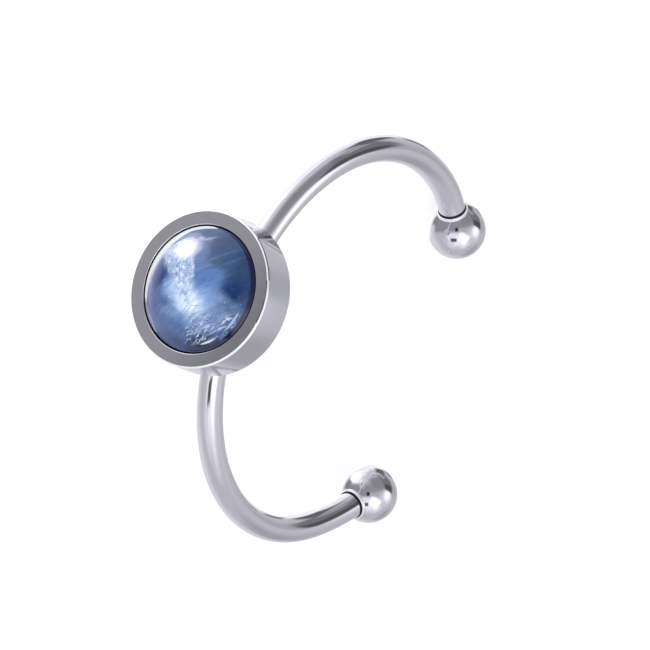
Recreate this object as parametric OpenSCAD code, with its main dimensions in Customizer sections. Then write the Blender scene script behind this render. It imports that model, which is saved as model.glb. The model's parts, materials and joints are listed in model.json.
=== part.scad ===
// Open finger ring: a round wire band with a polished ball at each end and a round cup
// with a domed stone on its outside, opposite the gap. Millimetres.
// It lies on its side as it would by itself, on the cup's lower back edge and the two
// balls, so the band's plane leans a little. The floor is Z = 0.

/* [Band] */
// Inside diameter of the open band, which is the finger size
inner_d = 17.25; // [16:0.25:19]
// Diameter of the round wire
wire_d = 1.25; // [1.1:0.05:1.4]

/* [Left arm] */
// Angle round the finger from the cup to where the left arm bends inwards
left_arc = 110; // [104:1:114]
// Bend radius of the left arm's tip
left_tip_r = 7.1; // [6:0.1:9]
// Angle of the left arm's tip bend
left_tip_sweep = 19.2; // [14:0.2:22]

/* [Right arm] */
// Angle round the finger from the cup to where the right arm opens out
right_arc = 116; // [110:1:118]
// Bend radius of the right arm's tip
right_tip_r = 15.3; // [12:0.1:24]
// Angle of the right arm's tip bend
right_tip_sweep = 9.6; // [6:0.2:12]

/* [Cup] */
// Outside diameter of the round cup that holds the stone
cup_d = 7.4; // [7:0.1:8]
// Height of the cup, back plane to flat front rim
cup_h = 2; // [1.8:0.1:2.6]
// Distance from the outside of the wire to the cup's back plane
cup_lift = 0.3; // [0.2:0.05:0.5]
// Diameter of the opening for the stone
seat_d = 6; // [5.6:0.1:6.4]
// Thickness of the cup's closed back
cup_back = 0.6; // [0.4:0.1:0.8]
// Width of the small polished bevels on the cup's edges
bevel = 0.06; // [0.03:0.01:0.1]
// Diameter of the plain solder seat between the wire and the cup
solder_d = 2.2; // [1.8:0.1:3]

/* [Stone] */
// Gap all round between the stone and the cup
stone_gap = 0.05; // [0.03:0.01:0.08]
// How far the stone's girdle edge sits below the cup's front rim
girdle_drop = 0.08; // [0.04:0.01:0.15]
// Height of the dome above its girdle edge
dome_h = 1.25; // [0.8:0.05:1.6]

/* [Balls] */
// Diameter of the ball on each end
ball_d = 2.72; // [2.5:0.01:3]
// Clearance round the wire in the ball's hole
bore_gap = 0.07; // [0.04:0.01:0.1]
// Width of the polished bevel round the mouth of the hole
bore_bevel = 0.12; // [0.06:0.01:0.2]
// Straight end of the wire, which reaches the middle of the ball
straight_end = 1.3; // [1.2:0.05:1.6]

/* [Hidden] */
$fn = 96;
ring_r = (inner_d + wire_d) / 2;
wire_r = wire_d / 2;
cup_back_y = ring_r + wire_r + cup_lift;
cup_front_y = cup_back_y + cup_h;
ball_r = ball_d / 2;
bore_r = wire_r + bore_gap;
bore_past_end = 0.05;
// How far one stretch of wire starts inside the one before, and how much thinner it is
lap = 0.1;
hair = 0.005;

// Dome: a ball cap on the round girdle
stone_r = seat_d / 2 - stone_gap;
girdle_y = cup_front_y - girdle_drop;
dome_r = (pow(stone_r, 2) + pow(dome_h, 2)) / (2 * dome_h);
dome_centre_y = girdle_y + dome_h - dome_r;

// An arm is [side, arc, tip radius, tip sweep]; the side is -1 for left, 1 for right.
// In the band's own plane the cup is towards -Y and the gap between the balls towards +Y.
LEFT = [-1, left_arc, left_tip_r, left_tip_sweep];
RIGHT = [1, right_arc, right_tip_r, right_tip_sweep];
function arm_side(arm) = arm[0];
function arm_arc(arm) = arm[1];
function tip_r(arm) = arm[2];
function tip_sweep(arm) = arm[3];
function tip_angle(arm) = arm_arc(arm) + tip_sweep(arm);
function round_the_band(r, a) = [r * sin(a), -r * cos(a)];
function along_the_band(a) = [cos(a), sin(a)];
function tip_centre(arm) = round_the_band(ring_r - tip_r(arm), arm_arc(arm));
function tip_end(arm) = tip_centre(arm) + round_the_band(tip_r(arm), tip_angle(arm));
function ball_on_right(arm) = tip_end(arm) + straight_end * along_the_band(tip_angle(arm));
function ball_at(arm) = [arm_side(arm) * ball_on_right(arm)[0], ball_on_right(arm)[1]];

// The floor touches both balls and the back edge of the cup's round side, just in front of
// its bevel. up_x, up_y and up_z are the floor's normal in the band's own frame.
left_ball = ball_at(LEFT);
right_ball = ball_at(RIGHT);
lean = (right_ball[1] - left_ball[1]) / (left_ball[0] - right_ball[0]);
cup_r = cup_d / 2;
reach = left_ball[1] + lean * left_ball[0] + cup_back_y + bevel;
pitch = acos(ball_r / norm([cup_r, reach])) - atan2(reach, cup_r);
up_y = -sin(pitch);
up_x = lean * up_y;
up_z = sqrt(1 - up_x * up_x - up_y * up_y);
tilt_x = atan2(up_y, up_z);
tilt_y = -asin(up_x);
floor_drop = up_x * left_ball[0] + up_y * left_ball[1] - ball_r;

// Front and back of the tilted part, for an origin under the middle of its box
back_y = max(left_ball[1], right_ball[1]) * cos(tilt_x) + ball_r;
dome_front_y = -dome_centre_y * cos(tilt_x) - dome_r;
rim_front_y = -cup_front_y * cos(tilt_x) - (cup_r - bevel) * abs(sin(tilt_x));
front_y = min(dome_front_y, rim_front_y);
middle_y = (front_y + back_y) / 2;

// Puts a piece that is built in the band's own plane into the resting pose
module at_rest() {
    translate([0, -middle_y, -floor_drop]) rotate([tilt_x, tilt_y, 0]) children();
}

// Stands a piece that is built along +Z on the cup's axis, height y from the ring's centre
module on_cup_axis(y) {
    translate([0, -y, 0]) rotate([90, 0, 0]) children();
}

// Runs a piece that is built along +Z from a point of the band along its direction there
module along_wire(point, angle) {
    translate([point[0], point[1], 0]) rotate([0, 0, angle]) rotate([0, 90, 0]) children();
}

// Round wire of radius r, bent through an angle that starts at from
module bend(radius, from, sweep, r) {
    rotate([0, 0, from - 90]) rotate_extrude(angle = sweep) translate([radius, 0]) circle(r);
}

// The even stretch of both arms, from one tip to the other round the back of the finger
module hoop() {
    bend(ring_r, -left_arc, left_arc + right_arc, wire_r);
}

// An arm's tip, which bends and then runs straight into the ball. Each stretch starts just
// inside the one before it and is thinner by a hair, so that the two join cleanly.
module tip(arm) {
    lap_angle = lap / tip_r(arm) * 180 / PI;
    translate(concat(tip_centre(arm), 0))
        bend(tip_r(arm), arm_arc(arm) - lap_angle, tip_sweep(arm) + lap_angle, wire_r - hair);
    along_wire(tip_end(arm) - lap * along_the_band(tip_angle(arm)), tip_angle(arm))
        cylinder(h = straight_end + lap, r = wire_r - 2 * hair);
}

// Round cup, closed at the back, with bevelled outer edges and a bevelled mouth
module cup() {
    mouth_r = seat_d / 2;
    on_cup_axis(cup_back_y) rotate_extrude() polygon([
        [0, 0],
        [cup_r - bevel, 0],
        [cup_r, bevel],
        [cup_r, cup_h - bevel],
        [cup_r - bevel, cup_h],
        [mouth_r + bevel, cup_h],
        [mouth_r, cup_h - bevel],
        [mouth_r, cup_back],
        [0, cup_back]
    ]);
}

// Solder seat that closes the space between the wire and the cup's back
module solder_seat() {
    on_cup_axis(ring_r) cylinder(h = cup_back_y - ring_r + cup_back / 2, d = solder_d);
}

// Open band, solder seat and cup are soldered into one piece of metal
module band() {
    color("gainsboro") at_rest() union() {
        hoop();
        mirror([1, 0, 0]) tip(LEFT);
        tip(RIGHT);
        solder_seat();
        cup();
    }
}

// Round girdle with a low dome, flat underneath
module stone() {
    bottom_y = cup_back_y + cup_back + stone_gap;
    dome_box = 2 * dome_r;
    color("steelblue") at_rest() union() {
        on_cup_axis(bottom_y) cylinder(h = girdle_y - bottom_y, r = stone_r);
        intersection() {
            on_cup_axis(dome_centre_y) sphere(dome_r);
            on_cup_axis(girdle_y) cylinder(h = dome_box, r = dome_box);
        }
    }
}

// Ball with a blind hole for the wire's end, built with the hole's mouth towards -Z
module ball() {
    mouth_z = sqrt(pow(ball_r, 2) - pow(bore_r + bore_bevel, 2));
    difference() {
        sphere(ball_r);
        translate([0, 0, -ball_r]) cylinder(h = ball_r + bore_past_end, r = bore_r);
        translate([0, 0, -mouth_z - bore_bevel]) cylinder(
            h = 2 * bore_bevel,
            r1 = bore_r + 2 * bore_bevel,
            r2 = bore_r
        );
    }
}

module ball_left() {
    color("gainsboro") at_rest() mirror([1, 0, 0])
        along_wire(ball_on_right(LEFT), tip_angle(LEFT)) ball();
}

module ball_right() {
    color("gainsboro") at_rest() along_wire(ball_on_right(RIGHT), tip_angle(RIGHT)) ball();
}

band();
stone();
ball_left();
ball_right();
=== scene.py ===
import json
import math

import bmesh
import bpy
from mathutils import Matrix, Vector


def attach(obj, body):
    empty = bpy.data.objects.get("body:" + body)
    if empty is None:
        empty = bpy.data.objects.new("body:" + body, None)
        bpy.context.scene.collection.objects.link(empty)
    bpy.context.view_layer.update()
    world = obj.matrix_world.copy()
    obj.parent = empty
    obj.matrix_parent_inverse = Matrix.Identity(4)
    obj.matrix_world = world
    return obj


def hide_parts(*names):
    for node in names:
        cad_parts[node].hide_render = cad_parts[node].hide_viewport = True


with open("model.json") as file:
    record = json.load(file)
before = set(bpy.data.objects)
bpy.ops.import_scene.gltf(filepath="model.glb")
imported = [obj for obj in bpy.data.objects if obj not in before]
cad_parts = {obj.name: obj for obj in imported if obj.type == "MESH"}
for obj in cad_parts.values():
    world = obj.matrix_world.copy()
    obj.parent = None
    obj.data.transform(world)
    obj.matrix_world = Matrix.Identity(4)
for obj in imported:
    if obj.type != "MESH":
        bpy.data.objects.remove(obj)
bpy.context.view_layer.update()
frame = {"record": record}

# Sizes are in millimetres, the same as in the part's source, and meshes are in metres
MM = 0.001
INNER_D = 17.25
WIRE_D = 1.25
STRAIGHT_END = 1.3
# One row for each arm: its ball, side, arc round the finger, tip radius and tip sweep
LEFT_ARM = {"ball": "ball_left", "side": -1, "arc": 110, "tip_r": 7.1, "tip_sweep": 19.2}
RIGHT_ARM = {"ball": "ball_right", "side": 1, "arc": 116, "tip_r": 15.3, "tip_sweep": 9.6}
CUP_D = 7.4
CUP_H = 2
CUP_LIFT = 0.3
CUP_BACK = 0.6
SEAT_D = 6
# Rounded edges: cup's back and stone's base, cup's front rim, and cup's mouth
EDGE_R = 0.1
RIM_EDGE_R = 0.1
MOUTH_EDGE_R = 0.06
SOLDER_D = 2.2
SOLDER_FILLET = 0.2
STONE_GAP = 0.05
GIRDLE_DROP = 0.08
DOME_H = 1.25
BALL_D = 2.72
BORE_GAP = 0.015
# Round bead about the hole's mouth: radius, and its middle's distance from the ball's centre
BEAD_R = 0.048
BEAD_REACH = 1.235
# Painted shade line on the wire at the bead, from and to which distance from the wire's end
GAP_PAINTED_SHADE_LINE = (1.2, 1.4)
BORE_PAST_END = 0.05

RING_R = (INNER_D + WIRE_D) / 2
WIRE_R = WIRE_D / 2
BORE_R = WIRE_R + BORE_GAP
CUP_BACK_Y = RING_R + WIRE_R + CUP_LIFT
STONE_R = SEAT_D / 2 - STONE_GAP
# Small length for telling faces apart
HAIR = 0.001

# How finely the round shapes are cut
WIRE_SIDES = 72
WIRE_STEP = 0.35
ROUND_SIDES = 192
EDGE_STEPS = 8
DOME_STEPS = 48
BALL_STEPS = 72
BEAD_STEPS = 16
SHARP_ANGLE = math.radians(40)
# Mesh attributes that keep a vertex's place in millimetres: in its piece's own frame, and
# in the cup's frame
OWN_MM = "own_mm"
CUP_MM = "cup_mm"

# Camera: where it stands round the part, how it is rolled, how far it is, and how large
# and where the picture shows the ring
CAMERA_AZIMUTH = -1.38
CAMERA_ELEVATION = 40.97
CAMERA_ROLL = 112.5
CAMERA_DISTANCE = 832.5
IMAGE_PX = 650
PX_PER_MM = 21.65
RING_CENTRE_PX = (336.0, 339.05)
SENSOR = 36
CAMERA_CLIP = (0.01, 10)

# In metres
FLOOR_SIZE = 6
LAMP_DISTANCE = 0.9
# The lamps' places in the studio, sizes in degrees, turn to the left and light
FILL_LAMP = {"at": (-14, 19), "size": (31, 31), "turn": 0, "light": 13}
GLINT_LAMPS = [
    {"at": (-109, 47), "size": (24, 14), "turn": 20, "light": 5},
    {"at": (-110, 48), "size": (34, 20), "turn": 20, "light": 2.4},
    {"at": (-111, 49), "size": (46, 28), "turn": 20, "light": 1.3},
]
# The floor's white paper
PAPER_COLOUR = (0.8, 0.8, 0.8, 1)
PAPER_ROUGHNESS = 0.9
PAPER_GLOW = 0.5
# Noise stays mostly within these values
NOISE_RANGE = (0.3, 0.7)
# Places of the finishes in the list of a piece's materials, after the plain silver: painted
# shade, painted highlight, and the cup's face with its painted shade
PAINTED_SHADE_SLOT, PAINTED_HIGHLIGHT_SLOT, SHADED_FACE_SLOT = 1, 2, 3


def mount(name):
    """Place and axis of one of the record's mounts."""
    row = next(m for m in frame["record"]["mounts"] if m["name"] == name)
    return Vector(row["pos_m"]), Vector(row["axis"]).normalized()


def placed(origin, x, y, z):
    """Matrix that puts a local frame with these axes at origin."""
    matrix = Matrix((x, y, z)).transposed().to_4x4()
    matrix.translation = origin
    return matrix


def band_frame():
    """Frame of the band's own plane: the cup towards -Y and the gap towards +Y."""
    centre, normal = mount("finger")
    cup_axis = mount("cup_front")[1]
    y = -cup_axis
    x = y.cross(normal).normalized()
    return placed(centre, x, y, x.cross(y))


BAND = band_frame()


def round_the_band(radius, angle):
    a = math.radians(angle)
    return Vector((radius * math.sin(a), -radius * math.cos(a), 0))


def along_the_band(angle):
    a = math.radians(angle)
    return Vector((math.cos(a), math.sin(a), 0))


def tip_angle(arm):
    return arm["arc"] + arm["tip_sweep"]


def tip_centre(arm):
    return round_the_band(RING_R - arm["tip_r"], arm["arc"])


def tip_end(arm):
    return tip_centre(arm) + round_the_band(arm["tip_r"], tip_angle(arm))


def mirrored(v, side):
    return Vector((side * v.x, v.y, v.z))


def ball_place(arm):
    """Centre of an arm's ball and the wire's direction into it, in the band's frame."""
    along = along_the_band(tip_angle(arm))
    centre = tip_end(arm) + STRAIGHT_END * along
    return mirrored(centre, arm["side"]), mirrored(along, arm["side"])


def stretch(length, extra=None):
    """Even steps along a length and an extra one, as shares from 0 to 1."""
    count = max(2, math.ceil(length / WIRE_STEP))
    shares = [i / count for i in range(count + 1)]
    if extra is not None:
        shares.append(extra / length)
    return sorted(shares)


def arm_line(arm):
    """Points and directions of an arm's centre line, from behind the cup to its end."""
    line = []
    for share in stretch(math.radians(arm["arc"]) * RING_R):
        angle = share * arm["arc"]
        line.append((round_the_band(RING_R, angle), along_the_band(angle)))
    bend = math.radians(arm["tip_sweep"]) * arm["tip_r"]
    for share in stretch(bend, bend + STRAIGHT_END - GAP_PAINTED_SHADE_LINE[1])[1:]:
        angle = arm["arc"] + share * arm["tip_sweep"]
        point = tip_centre(arm) + round_the_band(arm["tip_r"], angle)
        line.append((point, along_the_band(angle)))
    along = along_the_band(tip_angle(arm))
    for share in stretch(STRAIGHT_END, STRAIGHT_END - GAP_PAINTED_SHADE_LINE[0])[1:]:
        line.append((tip_end(arm) + share * STRAIGHT_END * along, along))
    return [(mirrored(p, arm["side"]), mirrored(t, arm["side"])) for p, t in line]


def band_line():
    """Centre line of the whole band, from the left arm's end to the right arm's."""
    left = [(p, -t) for p, t in reversed(arm_line(LEFT_ARM))]
    return left + arm_line(RIGHT_ARM)[1:]


def edge_arc(corner, before, after, radius):
    """Rounded corner of a profile, from the point before it to the point after it."""
    corner, before, after = Vector(corner), Vector(before), Vector(after)
    inward = (before - corner).normalized()
    onward = (after - corner).normalized()
    centre = corner + radius * (inward + onward)
    start = corner + radius * inward - centre
    end = corner + radius * onward - centre
    points = []
    for i in range(EDGE_STEPS + 1):
        quarter = math.pi / 2 * i / EDGE_STEPS
        points.append(centre + math.cos(quarter) * start + math.sin(quarter) * end)
    return points


def new_mesh(bm, name, matrix):
    """Turns a bmesh in millimetres into an object, its vertices placed by matrix.

    The millimetres of the piece's own frame stay on the mesh for its material.
    """
    bmesh.ops.recalc_face_normals(bm, faces=bm.faces)
    own = [component for vertex in bm.verts for component in vertex.co]
    bmesh.ops.transform(bm, matrix=matrix @ Matrix.Scale(MM, 4), verts=bm.verts)
    mesh = bpy.data.meshes.new(name)
    bm.to_mesh(mesh)
    bm.free()
    mesh.attributes.new(OWN_MM, "FLOAT_VECTOR", "POINT").data.foreach_set("vector", own)
    mesh.shade_smooth()
    mesh.set_sharp_from_angle(angle=SHARP_ANGLE)
    piece = bpy.data.objects.new(name, mesh)
    bpy.context.scene.collection.objects.link(piece)
    return piece


def bridge(bm, ring_a, ring_b):
    """Faces between two rings of vertices; a ring of one vertex is a pole."""
    count = max(len(ring_a), len(ring_b))
    for i in range(count):
        j = (i + 1) % count
        if len(ring_a) == 1:
            bm.faces.new((ring_a[0], ring_b[j], ring_b[i]))
        elif len(ring_b) == 1:
            bm.faces.new((ring_a[i], ring_a[j], ring_b[0]))
        else:
            bm.faces.new((ring_a[i], ring_a[j], ring_b[j], ring_b[i]))


def lathe(profile):
    """Closed turned shape round Z, from a profile of (radius, height) points."""
    bm = bmesh.new()
    rings = []
    for radius, height in profile:
        if radius < HAIR:
            rings.append([bm.verts.new((0, 0, height))])
            continue
        angles = [2 * math.pi * i / ROUND_SIDES for i in range(ROUND_SIDES)]
        rings.append([
            bm.verts.new((radius * math.cos(a), radius * math.sin(a), height)) for a in angles
        ])
    for ring_a, ring_b in zip(rings, rings[1:]):
        bridge(bm, ring_a, ring_b)
    return bm


def tube(line, radius):
    """Round wire along a flat line of (point, direction), closed at both ends."""
    bm = bmesh.new()
    up = Vector((0, 0, 1))
    rings = []
    for point, along in line:
        side = along.cross(up)
        angles = [2 * math.pi * i / WIRE_SIDES for i in range(WIRE_SIDES)]
        rings.append([
            bm.verts.new(point + radius * (math.cos(a) * side + math.sin(a) * up))
            for a in angles
        ])
    for ring_a, ring_b in zip(rings, rings[1:]):
        bridge(bm, ring_a, ring_b)
    bm.faces.new(rings[0])
    bm.faces.new(rings[-1])
    return bm


def cup_matrix(height):
    """Local frame on the cup's axis, +Z outwards, at a height from the ring's centre."""
    turn = Matrix.Rotation(math.radians(90), 4, "X")
    return BAND @ Matrix.Translation((0, -height * MM, 0)) @ turn


def cup_profile():
    """Half section of the cup: closed back, round wall, open mouth, rounded edges."""
    r, mouth = CUP_D / 2, SEAT_D / 2
    back_rim, front_rim = (r, 0), (r, CUP_H)
    mouth_rim = (mouth, CUP_H)
    points = [(0, 0)]
    points += edge_arc(back_rim, (0, 0), front_rim, EDGE_R)
    points += edge_arc(front_rim, back_rim, mouth_rim, RIM_EDGE_R)
    points += edge_arc(mouth_rim, front_rim, (mouth, 0), MOUTH_EDGE_R)
    points += [(mouth, CUP_BACK), (0, CUP_BACK)]
    return points


def seat_profile():
    """Half section of the solder seat, flared where it meets the cup's back."""
    r = SOLDER_D / 2
    top = CUP_BACK_Y - RING_R
    sunk = CUP_BACK / 2
    points = [(0, 0), (r, 0)]
    for i in range(EDGE_STEPS + 1):
        a = math.pi / 2 * i / EDGE_STEPS
        flare = SOLDER_FILLET * (1 - math.cos(a))
        points.append((r + flare, top - SOLDER_FILLET * (1 - math.sin(a))))
    points += [(r + SOLDER_FILLET, top + sunk), (0, top + sunk)]
    return points


def weld(piece, others):
    """Joins solids into one, with no faces left inside; only the first keeps its places."""
    for other in others:
        modifier = piece.modifiers.new("weld", "BOOLEAN")
        modifier.operation = "UNION"
        modifier.solver = "EXACT"
        modifier.object = other
        with bpy.context.temp_override(object=piece, active_object=piece):
            bpy.ops.object.modifier_apply(modifier=modifier.name)
        bpy.data.objects.remove(other)
    piece.data.shade_smooth()
    piece.data.set_sharp_from_angle(angle=SHARP_ANGLE)


def to_millimetres(matrix):
    """Matrix from the row frame into the frame at matrix, in millimetres."""
    return (matrix @ Matrix.Scale(MM, 4)).inverted()


def keep_places(piece, attribute, matrix):
    """Keeps each vertex's place in the frame at matrix, in millimetres, for a material."""
    own = to_millimetres(matrix)
    places = [component for vertex in piece.data.vertices for component in own @ vertex.co]
    kept = piece.data.attributes.new(attribute, "FLOAT_VECTOR", "POINT")
    kept.data.foreach_set("vector", places)


def make_band():
    band = new_mesh(tube(band_line(), WIRE_R), "ring_band", BAND)
    seat = new_mesh(lathe(seat_profile()), "solder_seat", cup_matrix(RING_R))
    cup = new_mesh(lathe(cup_profile()), "cup", cup_matrix(CUP_BACK_Y))
    weld(band, [seat, cup])
    keep_places(band, CUP_MM, cup_matrix(CUP_BACK_Y))
    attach(band, "root")
    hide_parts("band")
    return band


def stone_profile():
    """Half section of the cabochon: flat underside, girdle, and a ball-cap dome."""
    depth = CUP_H - GIRDLE_DROP - CUP_BACK - STONE_GAP
    dome_r = (STONE_R ** 2 + DOME_H ** 2) / (2 * DOME_H)
    edge_angle = math.asin(STONE_R / dome_r)
    points = [(0, -depth)]
    points += edge_arc((STONE_R, -depth), (0, -depth), (STONE_R, 0), EDGE_R)
    for i in range(DOME_STEPS + 1):
        a = edge_angle * (1 - i / DOME_STEPS)
        points.append((dome_r * math.sin(a), DOME_H - dome_r * (1 - math.cos(a))))
    points[-1] = (0, DOME_H)
    return points


def make_stone():
    girdle = cup_matrix(CUP_BACK_Y + CUP_H - GIRDLE_DROP)
    stone = new_mesh(lathe(stone_profile()), "kyanite_cabochon", girdle)
    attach(stone, "root")
    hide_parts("stone")
    return stone


def ball_profile():
    """Half section of a ball with a blind hole and a bead round its mouth, towards -Z."""
    ball_r = BALL_D / 2
    rim_angle = math.asin((BORE_R + 2 * BEAD_R) / ball_r)
    points = [(0, BORE_PAST_END), (BORE_R, BORE_PAST_END)]
    for i in range(BEAD_STEPS + 1):
        a = math.pi * i / BEAD_STEPS
        radius = BORE_R + BEAD_R * (1 - math.cos(a))
        points.append((radius, -BEAD_REACH - BEAD_R * math.sin(a)))
    for i in range(BALL_STEPS):
        a = rim_angle + (math.pi - rim_angle) * i / BALL_STEPS
        points.append((ball_r * math.sin(a), -ball_r * math.cos(a)))
    points.append((0, ball_r))
    return points


def ball_matrix(arm):
    """Frame of an arm's ball, +Z from the mouth of its hole into the ball."""
    centre, along = ball_place(arm)
    up = Vector((0, 0, 1))
    return BAND @ placed(centre * MM, up.cross(along), up, along)


def make_ball(arm, node):
    ball = new_mesh(lathe(ball_profile()), node + "_polished", ball_matrix(arm))
    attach(ball, "root")
    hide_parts(node)
    return ball


def camera_axes():
    """Right, up and back of the camera in the row frame."""
    azimuth, elevation = math.radians(CAMERA_AZIMUTH), math.radians(CAMERA_ELEVATION)
    back = Vector((
        math.sin(azimuth) * math.cos(elevation),
        -math.cos(azimuth) * math.cos(elevation),
        math.sin(elevation),
    ))
    level_right = Vector((0, 0, 1)).cross(back).normalized()
    level_up = back.cross(level_right)
    roll = math.radians(CAMERA_ROLL)
    right = math.cos(roll) * level_right + math.sin(roll) * level_up
    return right, back.cross(right), back


def make_camera():
    right, up, back = camera_axes()
    half = IMAGE_PX / 2
    aside = (half - RING_CENTRE_PX[0]) / PX_PER_MM
    above = (RING_CENTRE_PX[1] - half) / PX_PER_MM
    aim = BAND.translation + (aside * right + above * up) * MM
    data = bpy.data.cameras.new("camera")
    data.sensor_width = SENSOR
    data.lens = PX_PER_MM * CAMERA_DISTANCE * SENSOR / IMAGE_PX
    data.clip_start, data.clip_end = CAMERA_CLIP
    camera = bpy.data.objects.new("camera", data)
    camera.matrix_world = placed(aim + CAMERA_DISTANCE * MM * back, right, up, back)
    bpy.context.scene.collection.objects.link(camera)
    bpy.context.scene.camera = camera


def make_floor():
    half = FLOOR_SIZE / 2
    mesh = bpy.data.meshes.new("floor")
    corners = [(-half, -half, 0), (half, -half, 0), (half, half, 0), (-half, half, 0)]
    mesh.from_pydata(corners, [], [(0, 1, 2, 3)])
    floor = bpy.data.objects.new("floor", mesh)
    bpy.context.scene.collection.objects.link(floor)
    floor.visible_glossy = False
    mesh.materials.append(white_paper())


def white_paper():
    """Plain white sweep that glows a little, so that the shadows on it stay faint."""
    material, shader = new_material("white_paper")
    shader.inputs["Base Color"].default_value = PAPER_COLOUR
    shader.inputs["Roughness"].default_value = PAPER_ROUGHNESS
    shader.inputs["Emission Color"].default_value = (1, 1, 1, 1)
    shader.inputs["Emission Strength"].default_value = PAPER_GLOW
    return material


def new_material(name):
    material = bpy.data.materials.new(name)
    material.use_nodes = True
    return material, material.node_tree.nodes["Principled BSDF"]


def feed(tree, socket, value):
    """Links a socket into an input, or sets the input to a plain value."""
    if isinstance(value, bpy.types.NodeSocket):
        tree.links.new(value, socket)
    else:
        socket.default_value = value


def math_node(tree, operation, *values):
    node = tree.nodes.new("ShaderNodeMath")
    node.operation = operation
    for socket, value in zip(node.inputs, values):
        feed(tree, socket, value)
    return node.outputs["Value"]


def smooth_step(tree, value, low, high, start=0.0, end=1.0):
    """Goes smoothly from start to end as the value goes from low to high."""
    node = tree.nodes.new("ShaderNodeMapRange")
    node.interpolation_type = "SMOOTHSTEP"
    for name, number in (("From Min", low), ("From Max", high), ("To Min", start), ("To Max", end)):
        node.inputs[name].default_value = number
    feed(tree, node.inputs["Value"], value)
    return node.outputs["Result"]


def blend(tree, share, below, above):
    """Puts one value over another by a share from 0 to 1."""
    node = tree.nodes.new("ShaderNodeMix")
    node.data_type = "FLOAT"
    for name, value in (("Factor", share), ("A", below), ("B", above)):
        feed(tree, node.inputs[name], value)
    return node.outputs["Result"]


def turned(tree, across, up, at, turn):
    """Coordinates along and across an axis that is turned to the left round a point."""
    angle = math.radians(turn)
    across = math_node(tree, "SUBTRACT", across, float(at[0]))
    up = math_node(tree, "SUBTRACT", up, float(at[1]))
    if not turn:
        return across, up
    along = math_node(tree, "MULTIPLY", across, math.cos(angle))
    along = math_node(tree, "MULTIPLY_ADD", up, math.sin(angle), along)
    aside = math_node(tree, "MULTIPLY", up, math.cos(angle))
    aside = math_node(tree, "MULTIPLY_ADD", across, -math.sin(angle), aside)
    return along, aside


def seen_along(tree, direction, axis):
    """How far a direction points along an axis."""
    node = tree.nodes.new("ShaderNodeVectorMath")
    node.operation = "DOT_PRODUCT"
    feed(tree, node.inputs[0], direction)
    node.inputs[1].default_value = axis
    return node.outputs["Value"]


def studio_angles(tree):
    """Azimuth and elevation in degrees of each direction of the studio.

    The studio stands upright for the rolled camera: azimuth 0 is behind the camera and
    goes up to the right, and elevation goes up with the picture.
    """
    right, up, back = camera_axes()
    direction = tree.nodes.new("ShaderNodeTexCoord").outputs["Generated"]
    x, y, z = (seen_along(tree, direction, axis) for axis in (right, up, back))
    azimuth = math_node(tree, "DEGREES", math_node(tree, "ARCTAN2", x, z))
    elevation = math_node(tree, "DEGREES", math_node(tree, "ARCSINE", y))
    return azimuth, elevation


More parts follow.
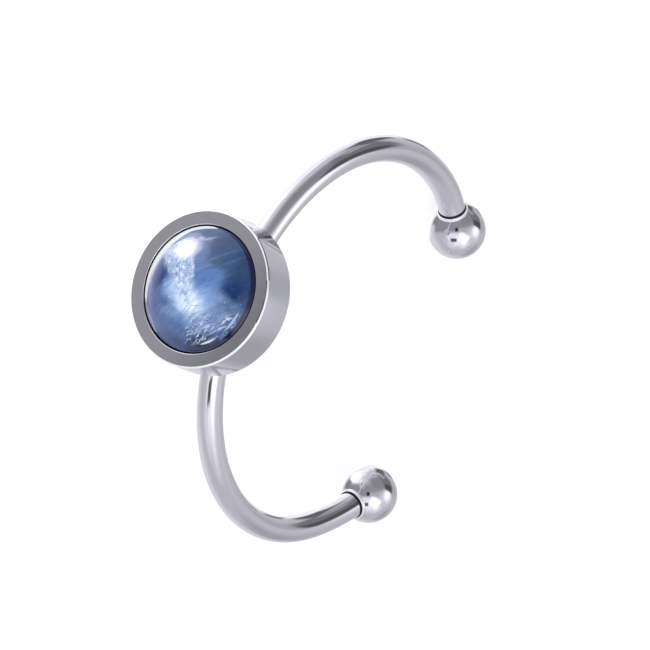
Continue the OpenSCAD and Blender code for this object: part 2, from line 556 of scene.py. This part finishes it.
# The studio's panels, from back to front: middle and half size in degrees, how soft the
# edge is, how far the panel is turned to the left, and its light
PANELS = {
    "ceiling": {"at": (0, 90), "half": (180, 22), "soft": 24, "turn": 0, "light": 0.62},
    "ceiling left": {"at": (-110, 68), "half": (75, 14), "soft": 24, "turn": 0, "light": 1.1},
    "table glow": {"at": (10, -58), "half": (75, 21), "soft": 34, "turn": 0, "light": 0.74},
    "table": {"at": (24, -54), "half": (42, 11), "soft": 22, "turn": 0, "light": 0.98},
    "left wall": {"at": (-148, -12), "half": (42, 36), "soft": 46, "turn": 0, "light": 0.76},
    "far wall": {"at": (180, 6), "half": (22, 18), "soft": 12, "turn": 0, "light": 0.75},
    "back wall": {"at": (-167, 38), "half": (40, 30), "soft": 30, "turn": 0, "light": 1.0},
    "left glow": {"at": (-146, 14), "half": (17, 20), "soft": 18, "turn": 0, "light": 1.15},
    "rim lamp": {"at": (-156, 20), "half": (14, 22), "soft": 12, "turn": 25, "light": 1.6},
    "front": {"at": (18, 32), "half": (82, 32), "soft": 24, "turn": 0, "light": 0.31},
    "front right": {"at": (58, 40), "half": (36, 18), "soft": 30, "turn": 0, "light": 0.26},
    "lamp glow": {"at": (-36, 56), "half": (34, 18), "soft": 50, "turn": 0, "light": 0.74},
    "lens side": {"at": (-45, 12), "half": (52, 20), "soft": 14, "turn": 0, "light": 0.3},
    "front low": {"at": (38, -4), "half": (34, 9), "soft": 18, "turn": 0, "light": 0.48},
    "side halo": {"at": (76, -14), "half": (30, 20), "soft": 34, "turn": 0, "light": 0.71},
    "black flag": {"at": (99, 34), "half": (23, 22), "soft": 12, "turn": -14, "light": 0.19},
    "flag glow": {"at": (103, 51), "half": (12, 9), "soft": 8, "turn": 0, "light": 0.36},
    "flag top": {"at": (141, 50), "half": (20, 11), "soft": 9, "turn": -22, "light": 0.14},
    "side card": {"at": (155, 22), "half": (8, 6), "soft": 5, "turn": 0, "light": 0.24},
    "right shade": {"at": (120, 5), "half": (14, 10), "soft": 14, "turn": 0, "light": 0.44},
    "low shade": {"at": (142, -44), "half": (24, 13), "soft": 22, "turn": 0, "light": 0.4},
    "side lamp": {"at": (81, -5), "half": (13, 13), "soft": 26, "turn": 0, "light": 1.4},
    "flag edge": {"at": (93, 15), "half": (18, 9), "soft": 8, "turn": -26, "light": 0.09},
    "main lamp": {"at": (-95, 52), "half": (42, 13), "soft": 9, "turn": 0, "light": 1.18},
    "lamp haze": {"at": (-88, 52), "half": (18, 12), "soft": 24, "turn": 0, "light": 1.8},
    "lamp tail": {"at": (-52, 50), "half": (16, 9), "soft": 18, "turn": 0, "light": 1.0},
    "dark stand": {"at": (-102, 24), "half": (14, 12), "soft": 8, "turn": 0, "light": 0.26},
    "low lamp": {"at": (-3, -30), "half": (40, 16), "soft": 12, "turn": 0, "light": 0.9},
    "low hot": {"at": (31, -35), "half": (24, 18), "soft": 16, "turn": -20, "light": 1.3},
    "low bar": {"at": (-16, -42), "half": (15, 7), "soft": 6, "turn": -4, "light": 0.12},
    "lens": {"at": (-1, 0), "half": (6, 7), "soft": 7, "turn": 0, "light": 0.02},
}
WALL_LIGHT = 0.54
# The studio's light is a little cool
STUDIO_TINT = (0.985, 0.98, 1.04, 1)


def panel_mask(tree, azimuth, elevation, panel):
    """1 inside a panel, 0 outside it."""
    soft = panel["soft"]
    azimuth = math_node(tree, "SUBTRACT", azimuth, float(panel["at"][0]))
    azimuth = math_node(tree, "WRAP", azimuth, 180.0, -180.0)
    aside, rise = turned(tree, azimuth, elevation, (0, panel["at"][1]), panel["turn"])
    masks = []
    for distance, half in zip((aside, rise), panel["half"]):
        distance = math_node(tree, "ABSOLUTE", distance)
        masks.append(smooth_step(tree, distance, half - soft / 2, half + soft / 2, 1, 0))
    return math_node(tree, "MULTIPLY", *masks)


def make_world():
    world = bpy.data.worlds.new("studio")
    world.use_nodes = True
    tree = world.node_tree
    azimuth, elevation = studio_angles(tree)
    light = WALL_LIGHT
    for panel in PANELS.values():
        light = blend(tree, panel_mask(tree, azimuth, elevation, panel), light, panel["light"])
    background = tree.nodes["Background"]
    feed(tree, background.inputs["Strength"], light)
    background.inputs["Color"].default_value = STUDIO_TINT
    bpy.context.scene.world = world


# Polished silver: base colour, least and most roughness, and its waviness
SILVER_COLOUR = (0.852, 0.85, 0.9, 1)
SILVER_ROUGHNESS = (0.035, 0.075)
WAVE_SCALE = 1.4
WAVE_DETAIL = 3
WAVE_STRENGTH = 0.25
WAVE_HEIGHT = 0.01
# The cup's front face is darker on one side and lighter on the other, a painted shade where a
# reflection would fall: its two tones, towards which angle it gets lighter, from where to where
# in millimetres, and how fine and how strong its streaks are
FACE_SHADED_TONE = (0.54, 0.539, 0.57, 1)
FACE_LIT_TONE = (0.94, 0.938, 0.99, 1)
FACE_LIT_TURN = 160
FACE_SHADE_DRIFT = (-5, 0.4)
LAPPED_GRAIN = {"scale": (1.5, 6.0), "seed": 5.0}
LAPPED_STREAKS = 0.35
# The part of the rounded front rim with a painted highlight, and its two thin lines of painted
# dark reflection: depths below the cup's face, as shares of the edge's radius, and arcs in degrees
RIM_PAINTED_HIGHLIGHT = (0.01, 0.8)
RIM_PAINTED_SHADE_LINES = [
    {"depths": (0.001, 0.1), "arc": (-8, 25)},
    {"depths": (0.5, 1), "arc": (25, 58)},
]
ALL_ROUND = (-180, 180)
# Share of the bead's radius that takes the hole's painted shade
DARK_BEAD_SHARE = 0.3
# Plain finishes: rougher, partly non-metal white that paints a highlight on the bright rim and
# beads; and rough unpolished metal, darkened to paint the shade in the cup, the holes and the
# dark lines
PAINTED_HIGHLIGHT_METAL = {"metallic": 0.62, "roughness": 0.32, "colour": (0.96, 0.96, 0.99, 1)}
PAINTED_SHADE_METAL = {"metallic": 1, "roughness": 0.5, "colour": (0.06, 0.06, 0.075, 1)}


def silver(name):
    """Polished silver with the faint waviness that polishing leaves."""
    material, shader = new_material(name)
    tree = material.node_tree
    own = tree.nodes.new("ShaderNodeAttribute")
    own.attribute_name = OWN_MM
    wave = tree.nodes.new("ShaderNodeTexNoise")
    wave.inputs["Scale"].default_value = WAVE_SCALE
    wave.inputs["Detail"].default_value = WAVE_DETAIL
    tree.links.new(own.outputs["Vector"], wave.inputs["Vector"])
    rough = smooth_step(tree, wave.outputs["Fac"], *NOISE_RANGE, *SILVER_ROUGHNESS)
    feed(tree, shader.inputs["Roughness"], rough)
    bump = tree.nodes.new("ShaderNodeBump")
    bump.inputs["Strength"].default_value = WAVE_STRENGTH
    bump.inputs["Distance"].default_value = WAVE_HEIGHT * MM
    tree.links.new(wave.outputs["Fac"], bump.inputs["Height"])
    tree.links.new(bump.outputs["Normal"], shader.inputs["Normal"])
    shader.inputs["Metallic"].default_value = 1
    shader.inputs["Base Color"].default_value = SILVER_COLOUR
    return material


def face_silver_painted_shade():
    """Front face of the cup: silver with painted shade, its tone drifting from dark to light across
    the face, in faint streaks.
    """
    material = silver("face_silver_painted_shade")
    tree = material.node_tree
    plane, stirred = front_plane(tree, CUP_MM)
    drift = turned(tree, *stirred, (0, 0), FACE_LIT_TURN)[0]
    lines = turned(tree, *plane, (0, 0), FACE_LIT_TURN)
    half = LAPPED_STREAKS / 2
    share = smooth_step(tree, drift, *FACE_SHADE_DRIFT, -half, 1 - half)
    streaks = noise(tree, lines, **LAPPED_GRAIN)
    share = math_node(tree, "MULTIPLY_ADD", streaks, LAPPED_STREAKS, share)
    tone = layer(tree, share, FACE_SHADED_TONE, FACE_LIT_TONE)
    feed(tree, tree.nodes["Principled BSDF"].inputs["Base Color"], tone)
    return material


def plain_metal(name, metallic, roughness, colour):
    material, shader = new_material(name)
    shader.inputs["Metallic"].default_value = metallic
    shader.inputs["Roughness"].default_value = roughness
    shader.inputs["Base Color"].default_value = colour
    return material


# Clouds of colour in the stone, from back to front, on its plane seen from the front, with a painted
# glow and a painted highlight among them: middle and half size in millimetres, turn to the left,
# softness and picture colour
CLOUDS = [
    {"at": (0.6, 2.2), "half": (1.6, 0.75), "turn": 0, "soft": 0.6, "colour": (68, 84, 118)},
    {"at": (1.6, 1.8), "half": (0.9, 0.8), "turn": 0, "soft": 0.6, "colour": (64, 86, 122)},
    {"at": (-0.1, 1.45), "half": (0.45, 0.8), "turn": 10, "soft": 0.6, "colour": (98, 119, 164)},
    {"at": (0.9, 0.6), "half": (1.0, 0.6), "turn": 0, "soft": 0.5, "colour": (94, 124, 176)},
    {"at": (2.5, 0.95), "half": (0.85, 1.15), "turn": 10, "soft": 0.5, "colour": (56, 77, 112)},
    {"at": (2.1, 0.5), "half": (0.38, 0.5), "turn": 0, "soft": 0.6, "colour": (46, 66, 108)},
    {"at": (1.2, -0.35), "half": (1.1, 0.6), "turn": 0, "soft": 0.5, "colour": (118, 146, 192)},
    {"at": (2.1, -0.55), "half": (0.6, 0.5), "turn": 20, "soft": 0.6, "colour": (97, 118, 153)},
    # A broad painted glow of light gathered through the dome
    {"at": (0.1, -0.75), "half": (1.4, 0.75), "turn": -8, "soft": 0.7, "colour": (158, 186, 230)},
    {"at": (-1.8, -0.1), "half": (0.5, 0.95), "turn": 0, "soft": 0.5, "colour": (62, 78, 126)},
    {"at": (-1.4, -1.4), "half": (1.0, 0.7), "turn": 0, "soft": 0.6, "colour": (78, 97, 146)},
    {"at": (0.3, -1.55), "half": (1.1, 0.35), "turn": 0, "soft": 0.7, "colour": (118, 147, 192)},
    {"at": (-0.1, -2.1), "half": (1.3, 0.45), "turn": 0, "soft": 0.6, "colour": (88, 109, 154)},
    {"at": (0.3, -2.7), "half": (1.5, 0.35), "turn": 0, "soft": 0.6, "colour": (68, 86, 122)},
    {"at": (1.6, -1.4), "half": (0.9, 0.55), "turn": 20, "soft": 0.5, "colour": (112, 137, 180)},
    {"at": (1.35, -2.15), "half": (0.8, 0.26), "turn": 32, "soft": 0.5, "colour": (50, 64, 92)},
    {"at": (2.6, -0.9), "half": (0.8, 0.25), "turn": 75, "soft": 0.5, "colour": (70, 90, 130)},
    # The painted glow's bright core, in three clouds
    {"at": (0.25, -0.6), "half": (0.85, 0.5), "turn": -30, "soft": 0.7, "colour": (212, 234, 250)},
    {"at": (0.35, -0.65), "half": (0.5, 0.28), "turn": -35, "soft": 0.7, "colour": (240, 250, 255)},
    {"at": (-0.2, -0.15), "half": (0.35, 0.25), "turn": -35, "soft": 0.6, "colour": (226, 238, 252)},
    # Painted highlight of a lamp on the dome, and beside it a painted reflection haze
    {"at": (-1.1, 1.4), "half": (0.8, 0.55), "turn": 20, "soft": 0.5, "colour": (206, 214, 232)},
    {"at": (-1.9, 1.3), "half": (0.28, 0.45), "turn": -25, "soft": 0.5, "colour": (176, 182, 204)},
    {"at": (2.3, 2.0), "half": (0.9, 0.5), "turn": -40, "soft": 0.6, "colour": (64, 78, 106)},
    # The painted highlight's thin tail towards the top
    {"at": (-0.45, 2.2), "half": (0.5, 0.08), "turn": 25, "soft": 0.95, "colour": (150, 165, 205)},
    {"at": (0.75, 1.75), "half": (0.9, 0.025), "turn": 50, "soft": 0.6, "colour": (66, 84, 124)},
    {"at": (0.85, 1.72), "half": (0.9, 0.03), "turn": 50, "soft": 0.8, "colour": (84, 106, 148)},
    {"at": (1.25, 1.55), "half": (0.8, 0.05), "turn": 46, "soft": 0.8, "colour": (72, 97, 137)},
    {"at": (0.42, -0.95), "half": (0.4, 0.02), "turn": 84, "soft": 0.6, "colour": (140, 168, 205)},
    {"at": (0.58, -0.95), "half": (0.3, 0.02), "turn": 80, "soft": 0.6, "colour": (150, 178, 212)},
    {"at": (0.75, -0.78), "half": (0.3, 0.02), "turn": 24, "soft": 0.6, "colour": (150, 178, 212)},
    {"at": (1.35, -2.3), "half": (0.4, 0.1), "turn": 28, "soft": 0.5, "colour": (26, 36, 52)},
    {"at": (1.95, -1.9), "half": (0.25, 0.07), "turn": 45, "soft": 0.5, "colour": (34, 44, 64)},
]
STONE_COLOUR = (92, 112, 158)
STONE_ROUGHNESS = 0.1
STONE_IOR = 1.72
# Picture colours become paint by taking off the studio's sheen on the dome and dividing by
# the light that falls on it
STONE_SHEEN = 0.03
STONE_LIGHT = 1.36
# Curved glints painted along the girdle: pale ones are painted highlights, dark ones painted
# shade. Radius and half width in millimetres, from and to which angle, and picture colour
GLINTS = [
    {"radius": 2.87, "half": 0.1, "arc": (-85, 95), "colour": (36, 48, 76)},
    {"radius": 2.9, "half": 0.57, "arc": (112, 222), "colour": (250, 252, 255)},
    {"radius": 2.88, "half": 0.16, "arc": (94, 150), "colour": (236, 240, 250)},
    {"radius": 2.86, "half": 0.24, "arc": (206, 244), "colour": (156, 162, 186)},
    {"radius": 2.66, "half": 0.05, "arc": (-62, -42), "colour": (205, 222, 240)},
    {"radius": 2.64, "half": 0.06, "arc": (-32, -6), "colour": (160, 184, 222)},
    {"radius": 2.45, "half": 0.06, "arc": (118, 148), "colour": (76, 86, 134)},
]
# Where silvery cleavage flecks lie, and where they run out into slanting streaks
FLECKS = [
    {"at": (-1.2, 0.85), "half": (0.95, 0.58), "turn": -38, "soft": 0.35},
    {"at": (-0.35, 0.35), "half": (0.75, 0.45), "turn": -40, "soft": 0.35},
    {"at": (-0.1, 0.65), "half": (0.7, 0.22), "turn": -62, "soft": 0.4},
    {"at": (-0.1, -0.35), "half": (0.75, 0.4), "turn": -30, "soft": 0.5},
]
SPARSE_FLECKS = [
    {"at": (-0.8, -0.6), "half": (0.7, 0.6), "turn": -50, "soft": 0.5},
    {"at": (1.0, -1.1), "half": (0.7, 0.4), "turn": 0, "soft": 0.5},
    {"at": (2.1, 0.1), "half": (0.5, 0.4), "turn": 0, "soft": 0.7},
]
STREAKS = [
    {"at": (1.3, -1.75), "half": (0.95, 0.42), "turn": 35, "soft": 0.4},
    {"at": (2.2, -1.15), "half": (0.75, 0.28), "turn": 58, "soft": 0.4},
    {"at": (1.2, -1.2), "half": (0.6, 0.35), "turn": 20, "soft": 0.5},
]
STREAK_TURN = 50
# The noises that shape the stone; scale is in clouds per millimetre, along and across
STIR = [
    {"scale": 1.1, "reach": 0.5},
    {"scale": 4.0, "reach": 0.16},
]
STIR_SEED_STEP = 7.0
CRUMPLE = {"scale": (6.5, 5.0), "seed": 3.0, "detail": 6.0, "roughness": 0.78, "distortion": 1.0}
COMB = {"scale": (1.8, 12.0), "seed": 11.0, "detail": 4.0, "roughness": 0.65, "distortion": 0.5}
MOTTLE = {"scale": (1.5, 4.5), "seed": 23.0, "detail": 5.0, "roughness": 0.7, "distortion": 0.3}
# Darkest and lightest of the fine clouds all over
MOTTLE_SHADES = (0.8, 1.18)
# Noise values between which each kind of fleck or streak fades in or out, the share of the
# haze and of the dark streaks, and their picture colours
FLECK_GAP_FADE = (0.34, 0.5)
FLECK_WHITE_FADE = (0.5, 0.66)
SPECK_FADE = (0.6, 0.7)
STREAK_GAP_FADE = (0.36, 0.48)
STREAK_FADE = (0.5, 0.62)
HAZE_SHARE = 0.8
STREAK_GAP_SHARE = 0.7
FLECK_HAZE = (170, 190, 222)
FLECK_GAP = (104, 130, 184)
FLECK_WHITE = (244, 248, 255)
STREAK_COLOUR = (188, 207, 234)
STREAK_GAP = (70, 90, 128)
# How a glint fades towards its ends and its sides, as shares of its length and width
GLINT_END_FADE = (0.0, 0.1)
GLINT_SIDE_FADE = (0.4, 1.2)
LEAST_GLINT = 0.001
# Painted shade at the girdle's edge, from this radius on
GIRDLE_SHADE_FROM = 2.91
GIRDLE_SHADE = (20, 28, 50)


def paint(picture_colour):
    """Base colour that looks like a picture colour, 0 to 255, under the studio's light."""
    parts = []
    for part in picture_colour:
        part = part / 255
        linear = part / 12.92 if part <= 0.04045 else ((part + 0.055) / 1.055) ** 2.4
        parts.append(max(0.0, linear - STONE_SHEEN) / STONE_LIGHT)
    return (*parts, 1)


def oval(tree, plane, spot):
    """1 inside a soft oval of a plane, 0 outside it."""
    along, aside = turned(tree, *plane, spot["at"], spot["turn"])
    a = math_node(tree, "POWER", math_node(tree, "DIVIDE", along, spot["half"][0]), 2.0)
    b = math_node(tree, "POWER", math_node(tree, "DIVIDE", aside, spot["half"][1]), 2.0)
    reach = math_node(tree, "SQRT", math_node(tree, "ADD", a, b))
    return smooth_step(tree, reach, 1 - spot["soft"], 1 + spot["soft"], 1, 0)


def noise(tree, plane, scale, seed, detail=4.0, roughness=0.6, distortion=0.0):
    """Cloud noise on a plane; scale is along and across, in clouds per millimetre."""
    place = tree.nodes.new("ShaderNodeCombineXYZ")
    feed(tree, place.inputs["X"], math_node(tree, "MULTIPLY", plane[0], float(scale[0])))
    feed(tree, place.inputs["Y"], math_node(tree, "MULTIPLY", plane[1], float(scale[1])))
    place.inputs["Z"].default_value = seed
    node = tree.nodes.new("ShaderNodeTexNoise")
    node.inputs["Scale"].default_value = 1
    node.inputs["Detail"].default_value = detail
    node.inputs["Roughness"].default_value = roughness
    node.inputs["Distortion"].default_value = distortion
    tree.links.new(place.outputs["Vector"], node.inputs["Vector"])
    return node.outputs["Fac"]


def layer(tree, share, below, above, blend_type="MIX"):
    """Lays a colour over another, or multiplies them, by a share from 0 to 1."""
    node = tree.nodes.new("ShaderNodeMix")
    node.data_type = "RGBA"
    node.blend_type = blend_type
    sockets = [socket for socket in node.inputs if socket.enabled]
    for socket, value in zip(sockets, (share, below, above)):
        feed(tree, socket, value)
    return next(socket for socket in node.outputs if socket.enabled)


def front_plane(tree, attribute):
    """Place across and up on the stone or the cup's face, in millimetres from the middle.

    The second pair is the same place stirred a little by noise, for uneven outlines.
    """
    node = tree.nodes.new("ShaderNodeAttribute")
    node.attribute_name = attribute
    split = tree.nodes.new("ShaderNodeSeparateXYZ")
    tree.links.new(node.outputs["Vector"], split.inputs["Vector"])
    across = split.outputs["Y"]
    up = math_node(tree, "MULTIPLY", split.outputs["X"], -1.0)
    plane = (across, up)
    stirred = []
    for count, value in enumerate(plane):
        for stir in STIR:
            scale = stir["scale"]
            cloud = noise(tree, plane, (scale, scale), STIR_SEED_STEP * count + scale)
            cloud = math_node(tree, "SUBTRACT", cloud, 0.5)
            value = math_node(tree, "MULTIPLY_ADD", cloud, stir["reach"], value)
        stirred.append(value)
    return plane, tuple(stirred)


def any_oval(tree, plane, spots):
    """1 inside any of the ovals."""
    share = 0.0
    for spot in spots:
        share = math_node(tree, "MAXIMUM", share, oval(tree, plane, spot))
    return share


def scaled(tree, share, mask):
    return math_node(tree, "MULTIPLY", share, mask)


def add_flecks(tree, colour, plane, stirred):
    """Crumpled silvery cleavage: haze, then blue gaps and white flecks in it."""
    dense = any_oval(tree, stirred, FLECKS)
    sparse = any_oval(tree, stirred, SPARSE_FLECKS)
    crumple = noise(tree, plane, **CRUMPLE)
    gaps = smooth_step(tree, crumple, *FLECK_GAP_FADE, 1, 0)
    white = smooth_step(tree, crumple, *FLECK_WHITE_FADE)
    specks = smooth_step(tree, crumple, *SPECK_FADE)
    colour = layer(tree, scaled(tree, dense, HAZE_SHARE), colour, paint(FLECK_HAZE))
    colour = layer(tree, scaled(tree, gaps, dense), colour, paint(FLECK_GAP))
    colour = layer(tree, scaled(tree, specks, sparse), colour, paint(FLECK_WHITE))
    return layer(tree, scaled(tree, white, dense), colour, paint(FLECK_WHITE))


def add_streaks(tree, colour, stirred):
    """Cleavage planes seen edge on: pale lines with dark ones between them."""
    where = any_oval(tree, stirred, STREAKS)
    lines = turned(tree, *stirred, (0, 0), STREAK_TURN)
    combed = noise(tree, lines, **COMB)
    dark = smooth_step(tree, combed, *STREAK_GAP_FADE, 1, 0)
    dark = scaled(tree, dark, scaled(tree, where, STREAK_GAP_SHARE))
    pale = smooth_step(tree, combed, *STREAK_FADE)
    colour = layer(tree, dark, colour, paint(STREAK_GAP))
    return layer(tree, scaled(tree, pale, where), colour, paint(STREAK_COLOUR))


def mottle(tree, colour, plane):
    """Darkens and lightens a colour a little, in fine clouds drawn out along the cleavage."""
    lines = turned(tree, *plane, (0, 0), STREAK_TURN)
    shade = smooth_step(tree, noise(tree, lines, **MOTTLE), *NOISE_RANGE, *MOTTLE_SHADES)
    return layer(tree, 1.0, colour, shade, "MULTIPLY")


def glint_share(tree, polar, glint):
    """1 on a thin crescent that follows the girdle and thins out at its ends."""
    radius, angle = polar
    first, last = glint["arc"]
    middle, half = (first + last) / 2, (last - first) / 2
    off_middle = math_node(tree, "SUBTRACT", angle, middle)
    along = math_node(tree, "DIVIDE", math_node(tree, "WRAP", off_middle, 180.0, -180.0), half)
    thin = math_node(tree, "SUBTRACT", 1.0, math_node(tree, "POWER", along, 2.0))
    width = math_node(tree, "MULTIPLY", math_node(tree, "MAXIMUM", thin, 0.0), glint["half"])
    width = math_node(tree, "ADD", width, LEAST_GLINT)
    off = math_node(tree, "ABSOLUTE", math_node(tree, "SUBTRACT", radius, glint["radius"]))
    reach = math_node(tree, "DIVIDE", off, width)
    inside = smooth_step(tree, thin, *GLINT_END_FADE)
    return scaled(tree, smooth_step(tree, reach, *GLINT_SIDE_FADE, 1, 0), inside)


def polar_plane(tree, plane):
    """Radius in millimetres and angle in degrees on the stone's plane."""
    across, up = plane
    squares = [math_node(tree, "POWER", value, 2.0) for value in plane]
    radius = math_node(tree, "SQRT", math_node(tree, "ADD", *squares))
    angle = math_node(tree, "DEGREES", math_node(tree, "ARCTAN2", up, across))
    return radius, angle


def kyanite():
    """Polished kyanite: clouds of blue, silvery flecks and streaks along its cleavage, with a
    painted glow, painted highlights and painted shade.
    """
    material, shader = new_material("kyanite")
    tree = material.node_tree
    plane, stirred = front_plane(tree, OWN_MM)
    colour = paint(STONE_COLOUR)
    for cloud in CLOUDS:
        colour = layer(tree, oval(tree, stirred, cloud), colour, paint(cloud["colour"]))
    colour = mottle(tree, colour, plane)
    colour = add_streaks(tree, colour, stirred)
    colour = add_flecks(tree, colour, plane, stirred)
    polar = polar_plane(tree, plane)
    # Painted crescents of highlight and shade along the girdle
    for glint in GLINTS:
        colour = layer(tree, glint_share(tree, polar, glint), colour, paint(glint["colour"]))
    # Painted shade towards the girdle's edge
    shade = smooth_step(tree, polar[0], GIRDLE_SHADE_FROM, STONE_R)
    colour = layer(tree, shade, colour, paint(GIRDLE_SHADE))
    feed(tree, shader.inputs["Base Color"], colour)
    shader.inputs["Roughness"].default_value = STONE_ROUGHNESS
    shader.inputs["IOR"].default_value = STONE_IOR
    return material


def finish_faces(piece, matrix, inside, slot, arc=ALL_ROUND):
    """Gives another finish to the faces whose middle, in the frame at matrix, is inside.

    Only those within the arc, in degrees anticlockwise from the frame's +Y, are changed.
    """
    own = to_millimetres(matrix)
    for polygon in piece.data.polygons:
        middle = own @ polygon.center
        angle = math.degrees(math.atan2(-middle.x, middle.y))
        if arc[0] <= angle <= arc[1] and inside(math.hypot(middle.x, middle.y), middle.z):
            polygon.material_index = slot


def studio_direction(azimuth, elevation):
    """Direction from the ring towards a place of the studio, as in studio_angles."""
    right, up, back = camera_axes()
    a, e = math.radians(azimuth), math.radians(elevation)
    return math.cos(e) * (math.sin(a) * right + math.cos(a) * back) + math.sin(e) * up


def lamp_size(angle):
    """Size in metres of a lamp that looks this many degrees wide."""
    return 2 * LAMP_DISTANCE * math.tan(math.radians(angle / 2))


def make_lamp(name, at, size, turn, light):
    """Soft oval lamp, at a place of the studio, that faces the ring."""
    data = bpy.data.lights.new(name, "AREA")
    data.shape = "ELLIPSE"
    data.size, data.size_y = (lamp_size(angle) for angle in size)
    data.energy = light * math.pi * math.pi / 4 * data.size * data.size_y
    lamp = bpy.data.objects.new(name, data)
    away = studio_direction(*at)
    level = camera_axes()[1].cross(away).normalized()
    roll = Matrix.Rotation(math.radians(turn), 4, "Z")
    facing = placed(BAND.translation + LAMP_DISTANCE * away, level, away.cross(level), away)
    lamp.matrix_world = facing @ roll
    bpy.context.scene.collection.objects.link(lamp)
    return lamp


def light_stone(stone):
    """A fill light that nothing mirrors, and lamps whose glint only the stone shows."""
    make_lamp("fill", **FILL_LAMP).visible_glossy = False
    shown_to = bpy.data.collections.new("glint_shown_to")
    shown_to.objects.link(stone)
    for row in GLINT_LAMPS:
        glint = make_lamp("glint", **row)
        glint.visible_diffuse = False
        glint.light_linking.receiver_collection = shown_to


# These tests take a face's distance from a frame's axis and its height along the axis
def inside_cup(radius, height):
    return radius < SEAT_D / 2 + HAIR and CUP_BACK - HAIR < height < CUP_H - EDGE_R


def on_cup_face(radius, height):
    """The flat front face of the cup."""
    return abs(height - CUP_H) < HAIR and radius < CUP_D / 2 - RIM_EDGE_R


def rim_test(depths):
    """Test for the part of the cup's rounded front rim between two depths below its face."""
    def on_rim(radius, height):
        depth = (CUP_H - height) / RIM_EDGE_R
        return radius > CUP_D / 2 - RIM_EDGE_R and depths[0] < depth < depths[1]
    return on_rim


def on_bead(radius, height):
    """The bead round the mouth of a ball's hole."""
    return radius < BORE_R + 2 * BEAD_R and height < 2 * BEAD_R - BEAD_REACH


def inside_bore(radius, height):
    """The hole in a ball, with the innermost part of the bead."""
    return radius < BORE_R + DARK_BEAD_SHARE * BEAD_R and height < BORE_PAST_END + HAIR


def on_gap_painted_shade_line(radius, height):
    """The painted shade line on the wire where it goes into a ball."""
    return radius < WIRE_R + HAIR and GAP_PAINTED_SHADE_LINE[0] < -height < GAP_PAINTED_SHADE_LINE[1]


def finish_metal(band, balls):
    """Gives the band and the balls their finishes, painted shade and painted highlights among them;
    balls has a row for each arm.
    """
    shared = [
        silver("silver"),
        plain_metal("painted_shade_silver", **PAINTED_SHADE_METAL),
        plain_metal("painted_highlight_silver", **PAINTED_HIGHLIGHT_METAL),
    ]
    for piece in [band] + [ball for arm, ball in balls]:
        for finish in shared:
            piece.data.materials.append(finish)
    band.data.materials.append(face_silver_painted_shade())
    cup = cup_matrix(CUP_BACK_Y)
    # The inside of the cup gets painted shade
    finish_faces(band, cup, inside_cup, PAINTED_SHADE_SLOT)
    # The cup's face gets the silver with painted shade
    finish_faces(band, cup, on_cup_face, SHADED_FACE_SLOT)
    # The rounded front rim gets a painted highlight
    finish_faces(band, cup, rim_test(RIM_PAINTED_HIGHLIGHT), PAINTED_HIGHLIGHT_SLOT)
    # Two thin lines of painted dark reflection on the rim
    for line in RIM_PAINTED_SHADE_LINES:
        finish_faces(band, cup, rim_test(line["depths"]), PAINTED_SHADE_SLOT, line["arc"])
    for arm, ball in balls:
        # A line of painted shade on the wire at the ball's hole, a painted highlight on the bead,
        # painted shade in the hole
        finish_faces(band, ball_matrix(arm), on_gap_painted_shade_line, PAINTED_SHADE_SLOT)
        finish_faces(ball, ball_matrix(arm), on_bead, PAINTED_HIGHLIGHT_SLOT)
        finish_faces(ball, ball_matrix(arm), inside_bore, PAINTED_SHADE_SLOT)


make_camera()
band = make_band()
stone = make_stone()
balls = [(arm, make_ball(arm, arm["ball"])) for arm in (LEFT_ARM, RIGHT_ARM)]
finish_metal(band, balls)
stone.data.materials.append(kyanite())
make_floor()
make_world()
light_stone(stone)
bpy.context.scene.view_settings.view_transform = "Standard"
